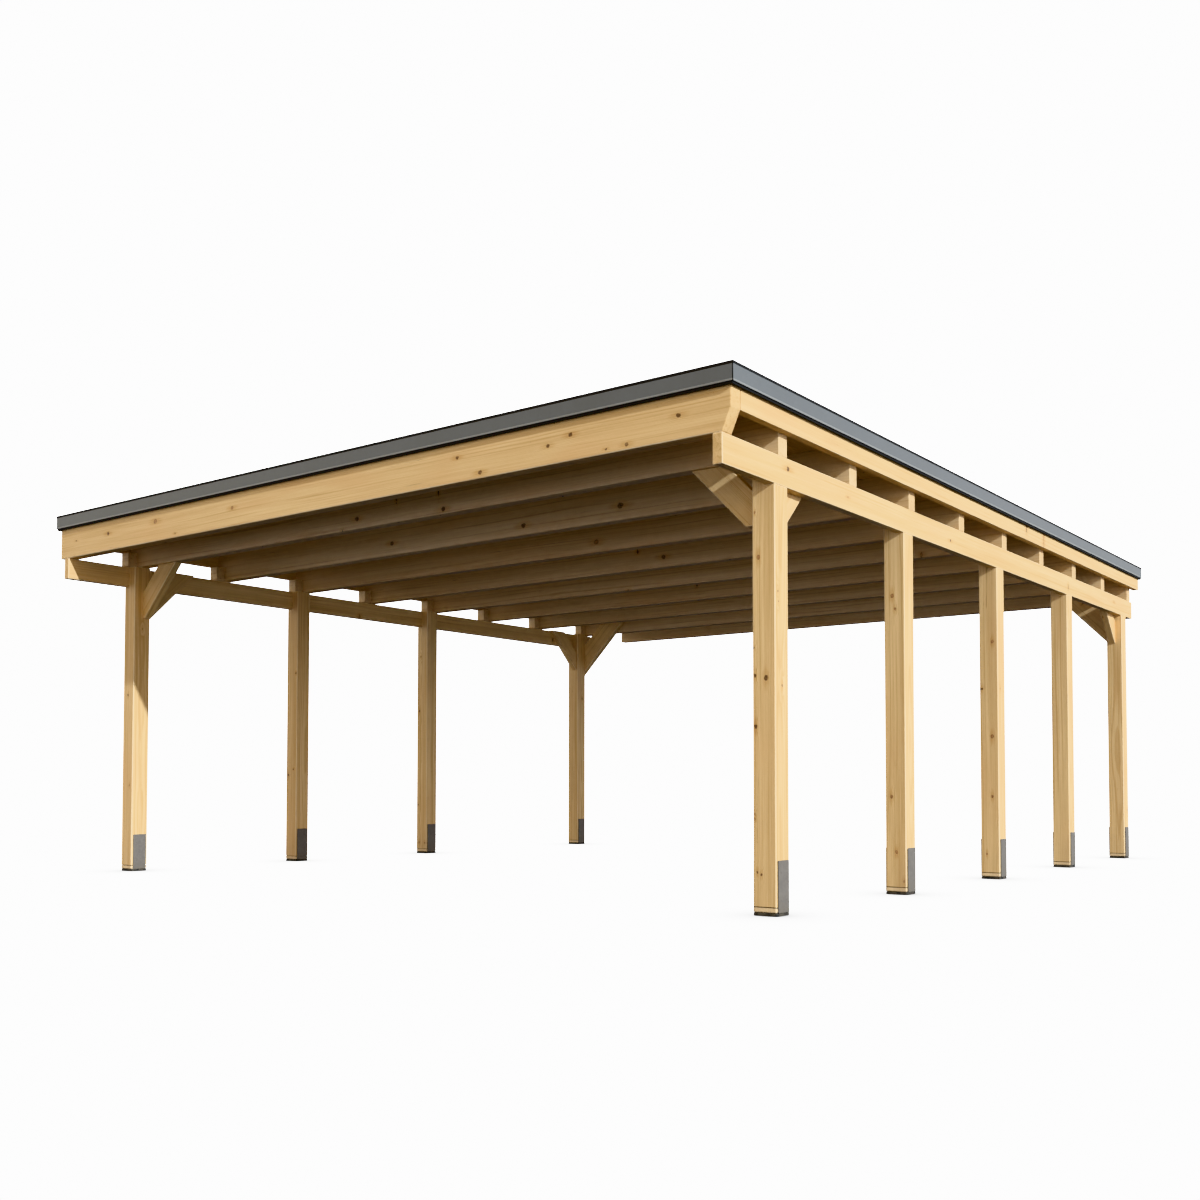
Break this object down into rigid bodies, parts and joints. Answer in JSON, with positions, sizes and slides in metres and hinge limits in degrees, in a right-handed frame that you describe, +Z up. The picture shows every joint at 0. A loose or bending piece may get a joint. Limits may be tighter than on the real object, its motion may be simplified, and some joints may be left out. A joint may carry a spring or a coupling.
{
  "type": "carport",
  "caption": "Open timber carport: square posts on steel shoes carry side beams, rafters and knee braces under a flat roof with a dark metal edge trim.",
  "frame": {"origin": "on the ground, under the middle of the roof's outline", "axes": "+Z up, -Y towards the drive-in front, +X towards the row of five posts"},
  "size_m": [6.22, 7.54, 2.8],
  "materials": {
    "post_timber": "planed honey-coloured spruce with knots, clear glazed",
    "beam_timber": "planed honey-coloured spruce with knots, clear glazed",
    "board_timber": "planed honey-coloured spruce with knots, clear glazed",
    "rafter_timber": "planed spruce with knots, clear glazed",
    "brace_timber": "planed spruce, clear glazed",
    "deck_timber": "sawn roof boards",
    "shoe_steel": "dull galvanised",
    "trim_metal": "matt anthracite coated sheet",
    "roof_sheet": "dark roofing sheet"
  },
  "bodies": {
    "root": {"post_right_1": "post_timber", "post_shoe_right_1": "shoe_steel", "post_right_2": "post_timber", "post_shoe_right_2": "shoe_steel", "post_right_3": "post_timber", "post_shoe_right_3": "shoe_steel", "post_right_4": "post_timber", "post_shoe_right_4": "shoe_steel", "post_right_5": "post_timber", "post_shoe_right_5": "shoe_steel", "post_left_1": "post_timber", "post_shoe_left_1": "shoe_steel", "post_left_2": "post_timber", "post_shoe_left_2": "shoe_steel", "post_left_3": "post_timber", "post_shoe_left_3": "shoe_steel", "post_left_4": "post_timber", "post_shoe_left_4": "shoe_steel", "side_beam_right": "beam_timber", "side_board_right": "board_timber", "cross_brace_front_right": "brace_timber", "side_brace_front_right": "brace_timber", "cross_brace_rear_right": "brace_timber", "side_brace_rear_right": "brace_timber", "side_beam_left": "beam_timber", "side_board_left": "board_timber", "cross_brace_front_left": "brace_timber", "side_brace_front_left": "brace_timber", "cross_brace_rear_left": "brace_timber", "side_brace_rear_left": "brace_timber", "front_board": "board_timber", "back_board": "rafter_timber", "rafter_2": "rafter_timber", "rafter_3": "rafter_timber", "rafter_4": "rafter_timber", "rafter_5": "rafter_timber", "rafter_6": "rafter_timber", "rafter_7": "rafter_timber", "rafter_8": "rafter_timber", "rafter_9": "rafter_timber", "roof_deck": "deck_timber", "roof_sheet": "roof_sheet", "roof_trim_front": "trim_metal", "roof_trim_right": "trim_metal", "roof_trim_back": "trim_metal", "roof_trim_left": "trim_metal"}
  },
  "joints": []
}
